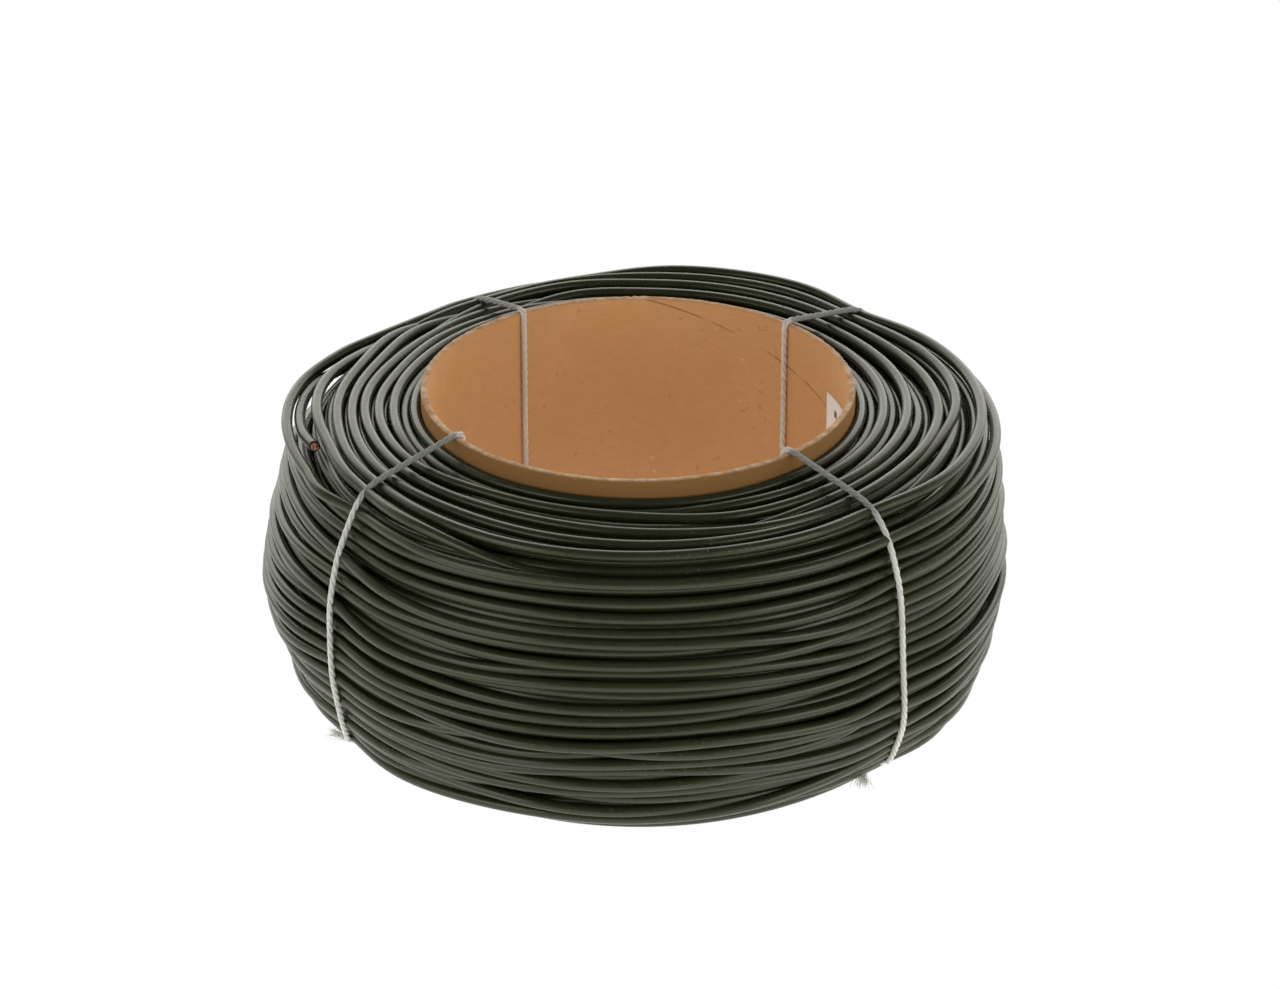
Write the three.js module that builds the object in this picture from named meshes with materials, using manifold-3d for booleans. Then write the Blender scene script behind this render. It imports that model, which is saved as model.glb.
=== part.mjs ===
// Pack of single-core cable, wound on a card tube and tied with four lengths of twine.
// Millimetres. +Z is up, the tube's axis is Z, and the floor is at z = 0.
// The front of the pack faces -Y.
import * as THREE from 'three';
import { mergeVertices } from 'three/addons/utils/BufferGeometryUtils.js';
import Module from 'manifold-3d';

const wasm = await Module();
wasm.setup();

// Driving sizes
const CABLE_D = 2.6;
const CONDUCTOR_D = 1.7;
const TWINE_D = 1.5;
const CORE_OUTER_R = 50;
const CORE_WALL = 1.6;
const WINDING_H = 69.7;
const WINDING_R = 87.1;
const RIM_STANDS_PROUD = 3.5;
const TOUCH_GAP = 0.3;
const TURN_PITCH = 2.75;
const END_RELIEF = 0.55;
const SIDE_RELIEF = 1.1;
const SUNK_TURN = 1.3;
const SUNK_EVERY = 4;
const RING_SIDES = 40;
const CORE_SIDES = 64;
const LABEL_H = 26;
const LABEL_BELOW_RIM = 10.7;
const CORE_SHOWS = 4;

// Sizes that follow from them
const RIM_Z = WINDING_H + RIM_STANDS_PROUD;
const CORE_INNER_R = CORE_OUTER_R - CORE_WALL;
const TWINE_R = TWINE_D / 2;
const TWINE_OUT = TWINE_R + TOUCH_GAP;
const TWINE_UNDER_Z = TWINE_R + TOUCH_GAP;
const CHANNEL_TOP = TWINE_UNDER_Z + TWINE_R + TOUCH_GAP;
const BORE_R = CORE_OUTER_R + TOUCH_GAP + 0.1;

// Outside of the wound pack as [share of WINDING_R, share of WINDING_H], from the underside up
const BARREL = [
  [0.84, 0],
  [0.908, 0.08],
  [0.944, 0.2],
  [1, 0.4],
  [0.974, 0.6],
  [0.948, 0.8],
  [0.940, 0.88],
  [0.920, 0.94],
  [0.886, 0.98],
  [0.850, 1],
];

const cableBlack = () => new THREE.MeshStandardMaterial({ color: 0x1c1e18, roughness: 0.42, metalness: 0 });
const copper = () => new THREE.MeshStandardMaterial({ color: 0xb4683f, roughness: 0.35, metalness: 1 });
const twineWhite = () => new THREE.MeshStandardMaterial({ color: 0xd8d4c8, roughness: 0.9, metalness: 0 });
const cardBrown = () => new THREE.MeshStandardMaterial({ color: 0xa87850, roughness: 0.92, metalness: 0 });
const labelWhite = () => new THREE.MeshStandardMaterial({ color: 0xf0f0ee, roughness: 0.6, metalness: 0 });

const rad = (degrees) => degrees * Math.PI / 180;

// A point from an azimuth in degrees, a radius and a height
function around(azimuth, radius, height) {
  const a = rad(azimuth);
  return new THREE.Vector3(radius * Math.cos(a), radius * Math.sin(a), height);
}

// A path that is stepped exactly at its own points
class Run extends THREE.Curve {
  constructor(points) {
    super();
    this.points = points;
  }

  getUtoTmapping(u) {
    return u;
  }

  getPoint(t, target = new THREE.Vector3()) {
    const last = this.points.length - 1;
    const place = Math.min(Math.max(t, 0), 1) * last;
    const i = Math.min(Math.floor(place), last - 1);
    return target.copy(this.points[i]).lerp(this.points[i + 1], place - i);
  }
}

// A round section with straight sides, carried along a path
function tubeAlong(points, radius, sides) {
  const section = [];
  for (let i = 0; i < sides; i += 1) {
    const a = 2 * Math.PI * (i + 0.5) / sides;
    section.push(new THREE.Vector2(radius * Math.cos(a), radius * Math.sin(a)));
  }
  return new THREE.ExtrudeGeometry(new THREE.Shape(section), {
    steps: points.length - 1,
    bevelEnabled: false,
    extrudePath: new Run(points),
  });
}

// A smooth path through a few points, stepped evenly
function smoothRun(points, step) {
  const curve = new THREE.CatmullRomCurve3(points, false, 'centripetal');
  const count = Math.max(2, Math.round(curve.getLength() / step));
  return curve.getSpacedPoints(count);
}

// The same corners, each rounded with a few points
function rounded(corners, radius) {
  const out = [corners[0]];
  for (let i = 1; i < corners.length - 1; i += 1) {
    const here = corners[i];
    const back = corners[i - 1].clone().sub(here);
    const ahead = corners[i + 1].clone().sub(here);
    const half = back.angleTo(ahead) / 2;
    const cut = Math.min(radius / Math.tan(half), back.length() * 0.45, ahead.length() * 0.45);
    const a = here.clone().add(back.setLength(cut));
    const b = here.clone().add(ahead.setLength(cut));
    const turn = Math.PI - 2 * half;
    const count = Math.max(1, Math.ceil(turn / rad(30)));
    for (let k = 0; k <= count; k += 1) {
      const t = k / count;
      const first = a.clone().lerp(here, t);
      const second = here.clone().lerp(b, t);
      out.push(first.lerp(second, t));
    }
  }
  out.push(corners[corners.length - 1]);
  return out;
}

function toManifold(geometry) {
  const bare = geometry.clone();
  bare.deleteAttribute('normal');
  bare.deleteAttribute('uv');
  const merged = mergeVertices(bare, 1e-4);
  const vertProperties = new Float32Array(merged.attributes.position.array);
  const triVerts = new Uint32Array(merged.index.array);
  return new wasm.Manifold(new wasm.Mesh({ numProp: 3, vertProperties, triVerts }));
}

function fromManifold(solid) {
  const mesh = solid.getMesh();
  const geometry = new THREE.BufferGeometry();
  const places = new Float32Array(mesh.vertProperties);
  geometry.setAttribute('position', new THREE.BufferAttribute(places, 3));
  geometry.setIndex(new THREE.BufferAttribute(new Uint32Array(mesh.triVerts), 1));
  geometry.computeVertexNormals();
  return geometry;
}

function turned(profile, sides) {
  const points = profile.map(([r, z]) => new THREE.Vector2(r, z));
  points.push(points[0].clone());
  const geometry = new THREE.LatheGeometry(points, sides);
  geometry.rotateX(Math.PI / 2);
  return geometry;
}

const BARREL_LINE = new THREE.SplineCurve(
  BARREL.map(([r, z]) => new THREE.Vector2(WINDING_R * r, WINDING_H * z)),
).getSpacedPoints(36);

// Outside radius of the pack at a height
function barrelAt(height) {
  let i = 1;
  while (i < BARREL_LINE.length - 1 && BARREL_LINE[i].y < height) {
    i += 1;
  }
  const [a, b] = [BARREL_LINE[i - 1], BARREL_LINE[i]];
  const t = Math.min(Math.max((height - a.y) / (b.y - a.y), 0), 1);
  return a.x + (b.x - a.x) * t;
}

// Section of the wound pack: a ridge for each turn, with narrow flats on the two ends; outside,
// some turns have sunk between their neighbours
function windingProfile() {
  const inner = BORE_R + CABLE_D * 0.5;
  const line = [new THREE.Vector2(inner, 0), ...BARREL_LINE, new THREE.Vector2(inner, WINDING_H)];
  const lengths = [0];
  for (let i = 1; i < line.length; i += 1) {
    lengths.push(lengths[i - 1] + line[i].distanceTo(line[i - 1]));
  }
  const total = lengths[lengths.length - 1];
  const at = (s) => {
    let i = 1;
    while (i < lengths.length - 1 && lengths[i] < s) {
      i += 1;
    }
    const t = (s - lengths[i - 1]) / (lengths[i] - lengths[i - 1]);
    const along = line[i].clone().sub(line[i - 1]).normalize();
    const place = line[i - 1].clone().lerp(line[i], t);
    return { place, along, inward: new THREE.Vector2(-along.y, along.x) };
  };
  const turns = Math.round(total / TURN_PITCH);
  const land = CABLE_D * 0.25;
  const profile = [[BORE_R, CABLE_D * 0.3]];
  for (let i = 0; i <= turns; i += 1) {
    const crest = at(total * i / turns);
    const onEnd = Math.abs(crest.inward.y) > 0.4;
    if (onEnd) {
      for (const side of [-land, land]) {
        const corner = crest.place.clone().addScaledVector(crest.along, side);
        profile.push([corner.x, Math.min(Math.max(corner.y, 0), WINDING_H)]);
      }
    } else {
      const sunk = i % SUNK_EVERY === 0 ? SUNK_TURN : 0;
      profile.push([crest.place.x - sunk, crest.place.y]);
    }
    if (i < turns) {
      const valley = at(total * (i + 0.5) / turns);
      const dip = valley.place.addScaledVector(valley.inward, onEnd ? END_RELIEF : SIDE_RELIEF);
      profile.push([dip.x, dip.y]);
    }
  }
  profile.push([BORE_R, WINDING_H - CABLE_D * 0.3]);
  return profile;
}

// Four ties: azimuth at the rim, azimuth at the foot, and which way the knot's ends lie
const TIES = [
  { name: 'tie_back_right', rim: 44, foot: 44, side: 1 },
  { name: 'tie_back_left', rim: 124, foot: 124, side: 1 },
  { name: 'tie_front_left', rim: 217, foot: 212, side: 1 },
  { name: 'tie_front_right', rim: 313, foot: 316, side: -1 },
];

const KNOT_R = TWINE_D * 1.15;
const KNOT_Z = KNOT_R + TOUCH_GAP;
const KNOT_OUT = barrelAt(KNOT_Z) + (KNOT_R + TOUCH_GAP) * 1.45;

// The run under the pack is one straight line, from inside the bore to the knot
function underRun(tie) {
  const from = around(tie.rim, CORE_INNER_R - TWINE_OUT, 0);
  const to = around(tie.foot, KNOT_OUT, 0);
  return { from, to, at: (out, height) => to.clone().sub(from).setLength(out).add(from).setZ(height) };
}

function tieCorners(tie) {
  const run = underRun(tie);
  const out = run.from.distanceTo(run.to);
  const shares = [0.975, 0.95, 0.92, 0.84, 0.72, 0.6, 0.5, 0.4, 0.3, 0.2, 0.1];
  const outside = shares.map((share) => {
    const azimuth = tie.rim + (tie.foot - tie.rim) * (0.975 - share) / 0.875;
    const lift = share > 0.9 ? TWINE_OUT * 0.8 : 0;
    const off = share > 0.9 ? TWINE_OUT * 0.9 : TWINE_OUT * 1.15;
    return around(azimuth, barrelAt(WINDING_H * share) + off, WINDING_H * share + lift);
  });
  return [
    around(tie.foot, KNOT_OUT, KNOT_Z - KNOT_R * 0.3),
    run.at(out - TWINE_D * 4.7, TWINE_UNDER_Z),
    run.at(0, TWINE_UNDER_Z),
    around(tie.rim, CORE_INNER_R - TWINE_OUT, RIM_Z + TWINE_OUT),
    around(tie.rim, CORE_OUTER_R + TWINE_R, RIM_Z + TWINE_OUT),
    around(tie.rim, barrelAt(WINDING_H) + TWINE_R * 0.6, WINDING_H + TWINE_OUT * 1.1),
    ...outside,
    around(tie.foot, KNOT_OUT, KNOT_Z + KNOT_R * 0.4),
  ];
}

function tieSolid(tie) {
  const run = rounded(tieCorners(tie), TWINE_D);
  let solid = toManifold(tubeAlong(run, TWINE_R, 8));
  const ball = new THREE.SphereGeometry(KNOT_R, 10, 8);
  const knot = around(tie.foot, KNOT_OUT, KNOT_Z);
  ball.translate(knot.x, knot.y, knot.z);
  solid = solid.add(toManifold(ball));
  const ends = [[5, TWINE_D * 0.9, TWINE_D * 0.75], [3.2, TWINE_D * 2.4, TWINE_D * 0.9]];
  ends.forEach(([sweep, reach, height], i) => {
    const away = tie.side * (i === 0 ? -1 : 1) * sweep;
    const tip = around(tie.foot + away, KNOT_OUT + reach, height);
    const middle = around(tie.foot + away * 0.55, KNOT_OUT + reach * 0.8, KNOT_Z * 0.8);
    const end = smoothRun([knot.clone(), middle, tip], TWINE_D * 1.7);
    solid = solid.add(toManifold(tubeAlong(end, TWINE_R * 0.8, 8)));
  });
  return solid;
}

// Azimuth, share of WINDING_R, and thicknesses of cable below the top of the winding
function besideTop([azimuth, share, below]) {
  return around(azimuth, WINDING_R * share, WINDING_H - CABLE_D * below);
}

// The outermost turn stands off the pack at the left
const LOOSE = [
  [134, 0.808, 0.27],
  [142.4, 0.843, 0.38],
  [154, 0.879, 0.77],
  [167, 0.910, 1.19],
  [180, 0.927, 1.50],
  [190, 0.932, 1.65],
  [198, 0.933, 1.77],
  [205, 0.932, 1.85],
  [210.5, 0.931, 1.88],
].map(besideTop);

// The cable's free end, under and inside the loose turn
const TAIL = [
  [152, 0.829, 1.15],
  [157.5, 0.852, 1.69],
  [163.5, 0.866, 1.96],
  [170.2, 0.884, 2.12],
  [177.8, 0.887, 2.15],
  [184.9, 0.879, 2.00],
  [189.5, 0.870, 1.81],
  [193.8, 0.862, 1.62],
].map(besideTop);

const looseRun = smoothRun(LOOSE, CABLE_D * 2.2);
const tailRun = smoothRun(TAIL, CABLE_D * 2.2);

function wider(run, over) {
  const ahead = run[run.length - 1].clone().sub(run[run.length - 2]).setLength(over);
  const back = run[0].clone().sub(run[1]).setLength(over);
  const out = run.slice();
  out[0] = out[0].clone().add(back);
  out[out.length - 1] = out[out.length - 1].clone().add(ahead);
  return out;
}

function windingSolid() {
  let solid = toManifold(turned(windingProfile(), RING_SIDES));
  const channel = 2 * TWINE_R + 2 * TOUCH_GAP;
  for (const tie of TIES) {
    const run = underRun(tie);
    const length = run.from.distanceTo(run.to) + 8;
    const middle = run.at(length / 2, 0);
    const box = new THREE.BoxGeometry(length, channel, 2 * CHANNEL_TOP);
    box.rotateZ(Math.atan2(run.to.y - run.from.y, run.to.x - run.from.x));
    box.translate(middle.x, middle.y, 0);
    solid = solid.subtract(toManifold(box));
  }
  const pocket = [
    [139, 0.930, -2.12],
    [150, 0.913, 0.31],
    [165, 0.910, 1.00],
    [180, 0.921, 1.15],
    [193, 0.928, 1.00],
    [204, 0.959, 0.19],
    [212, 1.005, -1.15],
  ].map(besideTop);
  solid = solid.subtract(toManifold(tubeAlong(smoothRun(pocket, CABLE_D * 3), CABLE_D * 1.65, 10)));
  const clear = CABLE_D / 2 + TOUCH_GAP * 1.15;
  for (const run of [looseRun, tailRun]) {
    solid = solid.subtract(toManifold(tubeAlong(wider(run, TOUCH_GAP), clear, 8)));
  }
  return solid;
}

// The cut end is bored for the copper core
const tailTip = tailRun[tailRun.length - 1];
const tailAway = tailTip.clone().sub(tailRun[tailRun.length - 2]).normalize();

function rodAtTip(inside, beyond, radius, sides) {
  const from = tailTip.clone().addScaledVector(tailAway, -inside);
  const to = tailTip.clone().addScaledVector(tailAway, beyond);
  return tubeAlong([from, from.clone().lerp(to, 0.5), to], radius, sides);
}

function tailSolid() {
  const solid = toManifold(tubeAlong(tailRun, CABLE_D / 2, 12));
  return solid.subtract(toManifold(rodAtTip(CORE_SHOWS + TOUCH_GAP / 2, 1, CONDUCTOR_D / 2 + TOUCH_GAP * 0.4, 12)));
}

function labelShape() {
  const outer = CORE_INNER_R - 0.2;
  const inner = outer - 0.25;
  const from = rad(-20);
  const to = rad(23.3);
  const shape = new THREE.Shape();
  shape.absarc(0, 0, outer, from, to, false);
  shape.absarc(0, 0, inner, to, from, true);
  const geometry = new THREE.ExtrudeGeometry(shape, {
    depth: LABEL_H,
    bevelEnabled: false,
    curveSegments: 10,
  });
  geometry.translate(0, 0, RIM_Z - LABEL_BELOW_RIM - LABEL_H);
  return geometry;
}

const group = new THREE.Group();
group.name = 'cable_pack';

function addPiece(name, geometry, material) {
  const mesh = new THREE.Mesh(geometry, material);
  mesh.name = name;
  group.add(mesh);
}

const coreProfile = [
  [CORE_INNER_R, CHANNEL_TOP],
  [CORE_OUTER_R, CHANNEL_TOP],
  [CORE_OUTER_R, RIM_Z],
  [CORE_INNER_R, RIM_Z],
];
addPiece('core_tube', turned(coreProfile, CORE_SIDES), cardBrown());
addPiece('core_label', labelShape(), labelWhite());
addPiece('cable_winding', fromManifold(windingSolid()), cableBlack());
addPiece('loose_turn', tubeAlong(looseRun, CABLE_D / 2, 8), cableBlack());
addPiece('cable_tail', fromManifold(tailSolid()), cableBlack());
addPiece('conductor_end', rodAtTip(CORE_SHOWS, 0, CONDUCTOR_D / 2, 12), copper());
for (const tie of TIES) {
  addPiece(tie.name, fromManifold(tieSolid(tie)), twineWhite());
}

export default group;
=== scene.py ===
"""A pack of black cable on a card tube, tied with twine, on a pale floor.

Lengths in the helpers are millimetres; meshes are written in metres.
Azimuths run anticlockwise from +X seen from above, and the front faces -Y.
"""

import math

import bpy
import numpy as np
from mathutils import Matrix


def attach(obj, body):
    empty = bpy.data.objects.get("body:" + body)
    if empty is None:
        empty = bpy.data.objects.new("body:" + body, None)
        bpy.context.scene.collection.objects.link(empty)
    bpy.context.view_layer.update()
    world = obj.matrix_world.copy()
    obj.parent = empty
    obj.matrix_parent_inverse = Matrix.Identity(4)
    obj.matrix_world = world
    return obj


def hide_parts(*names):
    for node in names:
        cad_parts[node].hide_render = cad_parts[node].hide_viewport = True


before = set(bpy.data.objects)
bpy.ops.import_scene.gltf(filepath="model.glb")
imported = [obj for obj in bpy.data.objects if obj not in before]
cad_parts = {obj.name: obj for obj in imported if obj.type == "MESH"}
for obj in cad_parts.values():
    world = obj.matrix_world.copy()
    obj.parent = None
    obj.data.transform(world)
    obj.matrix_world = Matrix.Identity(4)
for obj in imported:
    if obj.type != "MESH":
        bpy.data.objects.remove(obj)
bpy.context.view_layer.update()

# Sizes, in millimetres
CABLE = 2.6
RC = CABLE / 2
CORE_R = 50.0
CORE_IN = 48.4
RIM_Z = 73.2
TOP = 69.7
TWINE = 1.4
SHEATH_SIDES = 12
PIECE_TRIANGLES = 170000
PROFILE_Z = np.array([0, 0.08, 0.2, 0.4, 0.6, 0.8, 0.88, 0.94, 0.98, 1.0]) * TOP
PROFILE_R = np.array([74.4, 80.2, 82.8, 86.8, 84.8, 82.6, 81.6, 79.4, 76.4, 73.0])


# Camera

scene = bpy.context.scene
cam_data = bpy.data.cameras.new("camera")
cam_data.sensor_width = 36
cam_data.lens = 126.56
cam_data.clip_end = 50
camera = bpy.data.objects.new("camera", cam_data)
camera.location = (0.00045, -0.936, 0.513)
camera.rotation_euler = (math.radians(63.43), 0, 0)
scene.collection.objects.link(camera)
scene.camera = camera


# Meshes from arrays

def mesh_object(name, verts_mm, faces, material, uv=None, smooth=True):
    """One mesh from an array of points and an array of corner indices, all faces alike."""
    mesh = bpy.data.meshes.new(name)
    verts = np.asarray(verts_mm, dtype=np.float32) / 1000
    faces = np.asarray(faces, dtype=np.int32)
    count, corners = faces.shape
    mesh.vertices.add(len(verts))
    mesh.vertices.foreach_set("co", verts.ravel())
    mesh.loops.add(count * corners)
    mesh.loops.foreach_set("vertex_index", faces.ravel())
    mesh.polygons.add(count)
    mesh.polygons.foreach_set("loop_start", np.arange(count, dtype=np.int32) * corners)
    if smooth:
        mesh.polygons.foreach_set("use_smooth", np.ones(count, dtype=bool))
    if uv is not None:
        layer = mesh.uv_layers.new(name="along")
        layer.data.foreach_set("uv", np.asarray(uv, dtype=np.float32)[faces.ravel()].ravel())
    mesh.update()
    mesh.validate()
    mesh.materials.append(material)
    obj = bpy.data.objects.new(name, mesh)
    scene.collection.objects.link(obj)
    return obj


def grid_faces(rows, cols, close_rows=False, close_cols=True, start=0):
    """Corner indices of a grid of rows by cols points, closed round either way."""
    i = np.arange(rows if close_rows else rows - 1)
    j = np.arange(cols if close_cols else cols - 1)
    i, j = np.meshgrid(i, j, indexing="ij")
    i2 = (i + 1) % rows
    j2 = (j + 1) % cols
    quad = np.stack([i * cols + j, i * cols + j2, i2 * cols + j2, i2 * cols + j], axis=-1)
    return quad.reshape(-1, 4) + start


def tangents(path):
    """Unit directions along a path of points, by central differences."""
    t = np.gradient(path, axis=0)
    return t / np.linalg.norm(t, axis=1, keepdims=True)


def frames(path, up):
    """Two unit vectors across the path at each point, the second as near to up as it can be."""
    t = tangents(path)
    side = np.cross(t, np.broadcast_to(up, path.shape))
    side /= np.linalg.norm(side, axis=1, keepdims=True)
    return side, np.cross(side, t)


def tube(path, radius, sides, up=(0.0, 0.0, 1.0), bore=None):
    """Points and faces of a round tube: at each path point a ring of radius r,
    p + r (cos a side + sin a lift), with a flat fan at each end. With bore=(radius, depth) the
    last end has a wall: its rings carry on over a rounded lip and back down inside."""
    path = np.asarray(path, dtype=float)
    side, lift = frames(path, up)
    if bore is not None:
        hole, depth = bore
        ahead = tangents(path)[-1]
        moves = np.array([0.05, 0.05, 0.0, -depth])[:, None]
        path = np.vstack([path, path[-1] + moves * ahead])
        side, lift = (np.vstack([v, np.repeat(v[-1:], 4, axis=0)]) for v in (side, lift))
        lip = [radius - 0.06, hole + 0.06, hole, hole]
        radius = np.concatenate([np.full(len(path) - 4, radius), lip])
    n = len(path)
    a = 2 * np.pi * np.arange(sides) / sides
    r = np.broadcast_to(np.asarray(radius, dtype=float).reshape(-1, 1, 1), (n, 1, 1))
    ring = np.cos(a)[None, :, None] * side[:, None] + np.sin(a)[None, :, None] * lift[:, None]
    verts = (path[:, None] + r * ring).reshape(-1, 3)
    verts = np.vstack([verts, path[:1], path[-1:]])
    quads = grid_faces(n, sides)
    j = np.arange(sides)
    j2 = (j + 1) % sides
    low = np.stack([np.full(sides, n * sides), j2, j, j], axis=1)
    last = (n - 1) * sides
    high = np.stack([np.full(sides, n * sides + 1), last + j, last + j2, last + j2], axis=1)
    step = np.linalg.norm(np.diff(path, axis=0), axis=1)
    along = np.concatenate([[0], np.cumsum(step)])
    uv = np.stack([np.repeat(along / 100, sides), np.tile(a / (2 * np.pi), n)], axis=1)
    uv = np.vstack([uv, [[0, 0], [along[-1] / 100, 0]]])
    return verts, quads, np.vstack([low, high])[:, :3], uv


def tube_object(name, tubes, material):
    """Several tubes as one mesh. Quads and end fans are both written as triangles."""
    verts, tris, uvs, start = [], [], [], 0
    for v, quads, fans, uv in tubes:
        tri = np.vstack([quads[:, [0, 1, 2]], quads[:, [0, 2, 3]], fans])[:, ::-1]
        verts.append(v)
        tris.append(tri + start)
        uvs.append(uv)
        start += len(v)
    return mesh_object(name, np.vstack(verts), np.vstack(tris), material, np.vstack(uvs))


def smooth_run(points, step):
    """A smooth path through a few points: a cubic through each four, resampled evenly."""
    p = np.asarray(points, dtype=float)
    ext = np.vstack([2 * p[0] - p[1], p, 2 * p[-1] - p[-2]])
    t = np.linspace(0, 1, 24, endpoint=False)[:, None]
    parts = []
    for a, b, c, d in zip(ext[:-3], ext[1:-2], ext[2:-1], ext[3:]):
        parts.append(0.5 * (2 * b + (c - a) * t + (2 * a - 5 * b + 4 * c - d) * t ** 2
                            + (3 * b - a - 3 * c + d) * t ** 3))
    fine = np.vstack(parts + [p[-1:]])
    return even(fine, step)


def even(path, step):
    """The same path with its points evenly spaced."""
    length = np.concatenate([[0], np.cumsum(np.linalg.norm(np.diff(path, axis=0), axis=1))])
    count = max(3, int(round(length[-1] / step)) + 1)
    at = np.linspace(0, length[-1], count)
    return np.stack([np.interp(at, length, path[:, k]) for k in range(3)], axis=1)


def around(azimuth, radius, height):
    """Points from azimuths in degrees, radii and heights."""
    a = np.radians(np.asarray(azimuth, dtype=float))
    radius = np.asarray(radius, dtype=float)
    return np.stack([radius * np.cos(a), radius * np.sin(a), height + 0 * a + 0 * radius], axis=-1)


def steps(x, low, high):
    """0 below low, 1 above high, and a smooth rise between."""
    t = np.clip((x - low) / (high - low), 0, 1)
    return t * t * (3 - 2 * t)


# The wound pack

STEPS = 180
CELL = 0.2
HEIGHTS = np.arange(int(round((TOP + 4) / CELL)) + 1) * CELL
NEAR = np.arange(-7, 8)
ROWS = np.arange(STEPS)[:, None]
START_AZ = 90.0


def laid_radius(surface, z):
    """Radius at which a cable at heights z touches what is wound below it."""
    idx = np.clip(np.rint(z / CELL).astype(int)[:, None] + NEAR, 0, len(HEIGHTS) - 1)
    dz = HEIGHTS[idx] - z[:, None]
    lift = np.sqrt(np.maximum(RC * RC - dz * dz, 0))
    return np.where(np.abs(dz) < RC, surface[ROWS, idx] + lift, -1e9).max(axis=1)


def lay(surface, z, r):
    """Raises the surface where a turn at z and r lies."""
    idx = np.clip(np.rint(z / CELL).astype(int)[:, None] + NEAR, 0, len(HEIGHTS) - 1)
    dz = HEIGHTS[idx] - z[:, None]
    top = r[:, None] + np.sqrt(np.maximum(RC * RC - dz * dz, 0))
    top = np.where(np.abs(dz) < RC, top, 0)
    surface[ROWS, idx] = np.maximum(surface[ROWS, idx], top)


def eased(x, before, times):
    """x smoothed along the cable, carrying on from the end of the turn before."""
    n = len(before)
    line = np.concatenate([before, x])
    for _ in range(times):
        wide = np.concatenate([line[:1], line, line[-1:]])
        line = 0.25 * wide[:-2] + 0.5 * wide[1:-1] + 0.25 * wide[2:]
        line[:n] = before
    return line[n:]


def r_mean(surface):
    """Mean radius wound so far just under the top."""
    return surface[:, int(60 / CELL):int(66 / CELL)].mean()


def one_turn(surface, guide, before_z, before_r):
    """A turn that follows the guide and slips sideways into the hollows below it."""
    z = guide.copy()
    for _ in range(26):
        d = 0.25
        here = laid_radius(surface, z) + 0.02 * (z - guide) ** 2
        low = laid_radius(surface, z - d) + 0.02 * (z - d - guide) ** 2
        high = laid_radius(surface, z + d) + 0.02 * (z + d - guide) ** 2
        move = np.where((low < here) & (low <= high), -d, np.where(high < here, d, 0.0))
        z = np.clip(eased(z + 0.8 * move, before_z, 10), RC, TOP - RC)
    z = np.clip(eased(z, before_z, 16), RC, TOP - RC)
    r = laid_radius(surface, z) + 0.4 * steps(z, 60, 67) * steps(r_mean(surface), 51, 55)
    wide = np.concatenate([before_r[-3:], r, [r[-1]] * 3])
    crest = np.max([wide[j:j + STEPS] for j in range(7)], axis=0)
    r = np.maximum(eased(crest, before_r, 30), r - 0.1)
    r = before_r[-1] + (r - before_r[-1]) * np.clip((np.arange(STEPS) + 1) / 6, 0, 1)
    return z, r


def wind(seed, pitch, most):
    """Heights and radii of every turn, one row a turn, laid one on another from the core out.
    The guide runs to and fro and turns back where the pack has reached its outline."""
    rng = np.random.default_rng(seed)
    surface = np.full((STEPS, len(HEIGHTS)), CORE_R)
    t = np.arange(STEPS) / STEPS
    outline = np.interp(HEIGHTS, PROFILE_Z, PROFILE_R)
    zs, rs = [], []
    z_end, way = TOP - RC, -1
    before_z = np.full(12, z_end)
    before_r = np.full(12, CORE_R + RC)
    held = False
    for _ in range(most):
        room = outline - 0.5 * (surface.mean(axis=0) + surface.max(axis=0)) - 0.35 * CABLE

        def free(z):
            """Whether the pack has room for a turn at height z."""
            k = int(round(z / CELL))
            return RC <= z <= TOP - RC and room[max(0, k - 3):k + 4].mean() > 0

        to_end = min(z_end, TOP - z_end) - RC
        held = to_end < 0.9 * CABLE and not held
        z_next = z_end + way * CABLE * max(0.75, rng.normal(pitch, 0.22))
        if held:
            z_next = z_end + math.copysign(max(0, to_end - abs(rng.normal(0, 0.25))), z_end - TOP / 2)
        elif not free(z_next):
            way = -way
            z_next = z_end + way * CABLE * rng.uniform(0.2, 0.9)
            if not free(z_next):
                open_at = np.array([z for z in np.arange(RC, TOP - RC, 1.0) if free(z)])
                if len(open_at) == 0:
                    break
                z_next = open_at[np.argmin(np.abs(open_at - z_end))]
                z_next = z_end + np.clip(z_next - z_end, -5 * CABLE, 5 * CABLE)
        z_next = np.clip(z_next, RC + abs(rng.normal(0, 0.25)), TOP - RC - abs(rng.normal(0, 0.5)))
        sway = sum(rng.normal(0, 0.35 / q) * np.sin(2 * np.pi * q * t + rng.uniform(0, 6.28))
                   for q in range(1, 5)) * (0.3 if held else 1)
        sway = (sway - sway[0]) * np.sin(np.pi * t) ** 0.3
        guide = np.clip(z_end + (z_next - z_end) * t + sway, RC, TOP - RC)
        z, r = one_turn(surface, guide, before_z, before_r)
        lay(surface, z, r)
        zs.append(z)
        rs.append(r)
        before_z, before_r = z[-12:], r[-12:]
        z_end = z[-1]
    return np.array(zs), np.array(rs), surface


wound_z, wound_r, surface = wind(seed=7, pitch=1.22, most=330)

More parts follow.
